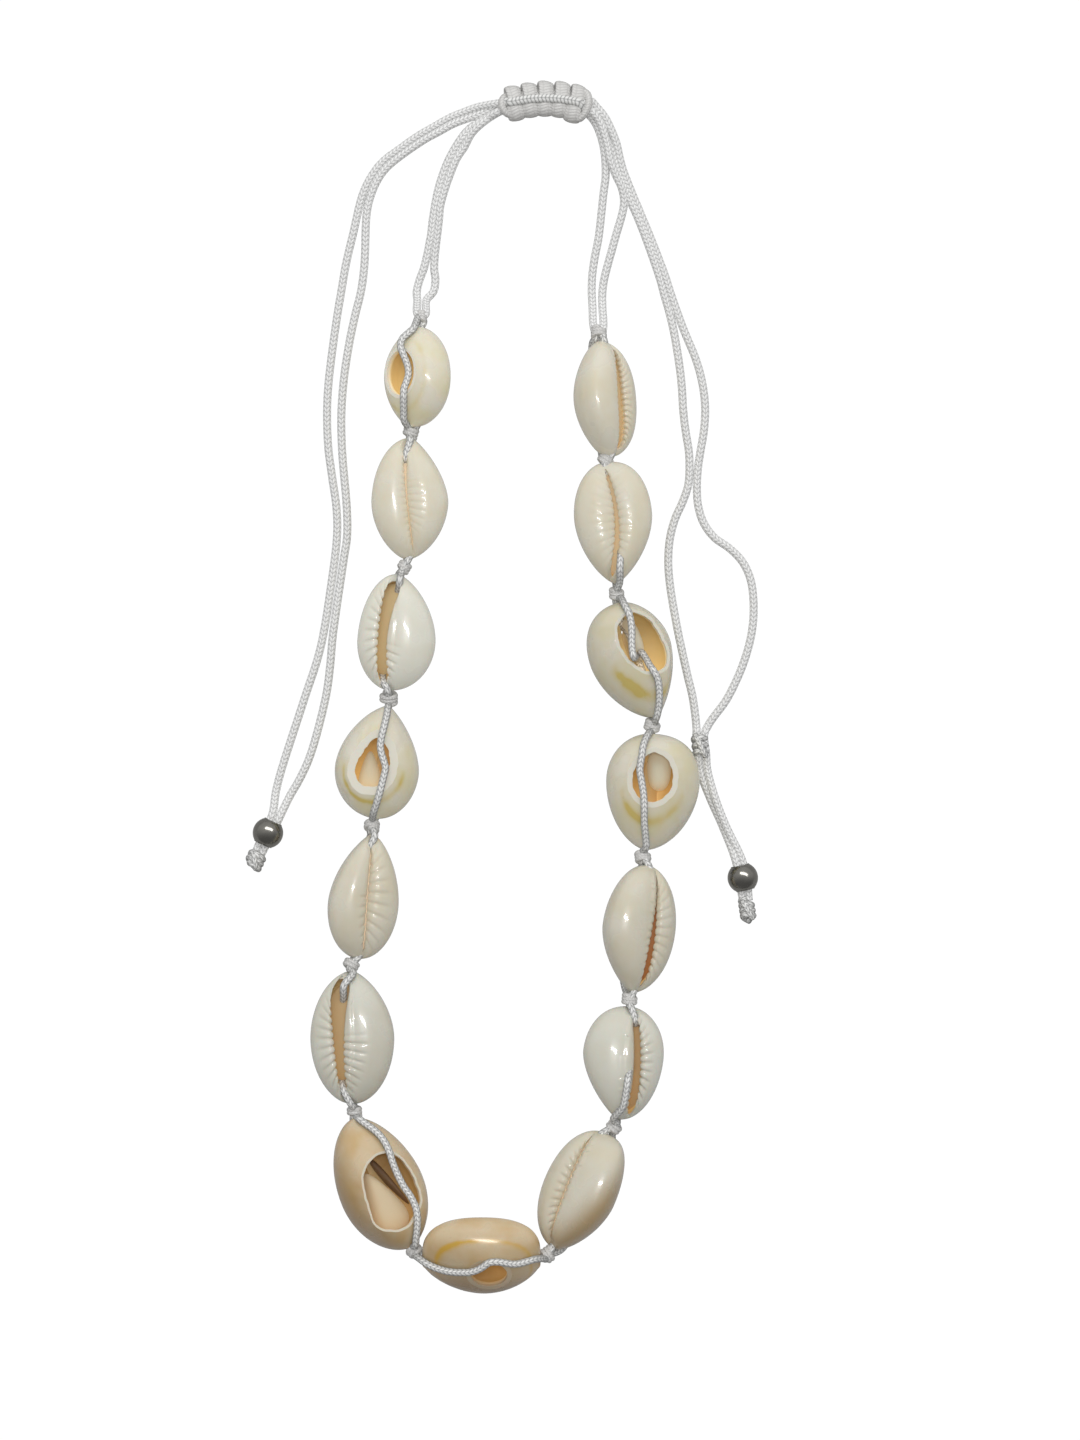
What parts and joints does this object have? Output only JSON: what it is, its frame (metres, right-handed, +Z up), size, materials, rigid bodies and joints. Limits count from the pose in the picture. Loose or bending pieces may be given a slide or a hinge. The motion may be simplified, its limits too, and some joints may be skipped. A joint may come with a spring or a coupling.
{
  "type": "shell necklace",
  "caption": "Adjustable choker of cut cowrie shells on a doubled braided cord, with a sliding knot and two tails with metal beads, lying flat.",
  "frame": {"origin": "centre of the loop's bounding box without its tails, on the floor that it lies on", "axes": "+Y from the bottom shell to the sliding knot, +Z up from the floor, +X to the viewer's right as seen from above"},
  "size_m": [0.0827, 0.1944, 0.0115],
  "materials": {
    "shell": "polished cream shell",
    "cord": "glossy braided nylon",
    "steel": "polished"
  },
  "bodies": {
    "root": {"shell_left_1": "shell", "shell_left_2": "shell", "shell_left_3": "shell", "shell_left_4": "shell", "shell_left_5": "shell", "shell_left_6": "shell", "shell_left_7": "shell", "shell_bottom": "shell", "shell_right_7": "shell", "shell_right_6": "shell", "shell_right_5": "shell", "shell_right_4": "shell", "shell_right_3": "shell", "shell_right_2": "shell", "shell_right_1": "shell", "knot_1": "cord", "knot_2": "cord", "knot_3": "cord", "knot_4": "cord", "knot_5": "cord", "knot_6": "cord", "knot_7": "cord", "knot_8": "cord", "knot_9": "cord", "knot_10": "cord", "knot_11": "cord", "knot_12": "cord", "knot_13": "cord", "knot_14": "cord", "knot_15": "cord", "knot_16": "cord", "string_a": "cord", "string_b": "cord", "side_left_a": "cord", "side_left_b": "cord", "side_right_a": "cord", "side_right_b": "cord", "slide_knot": "cord", "tail_left_outer": "cord", "tail_left_inner": "cord", "tail_right_outer": "cord", "tail_right_inner": "cord", "tail_tie": "cord", "bead_left": "steel", "bead_right": "steel", "end_knot_left": "cord", "end_knot_right": "cord"}
  },
  "joints": []
}
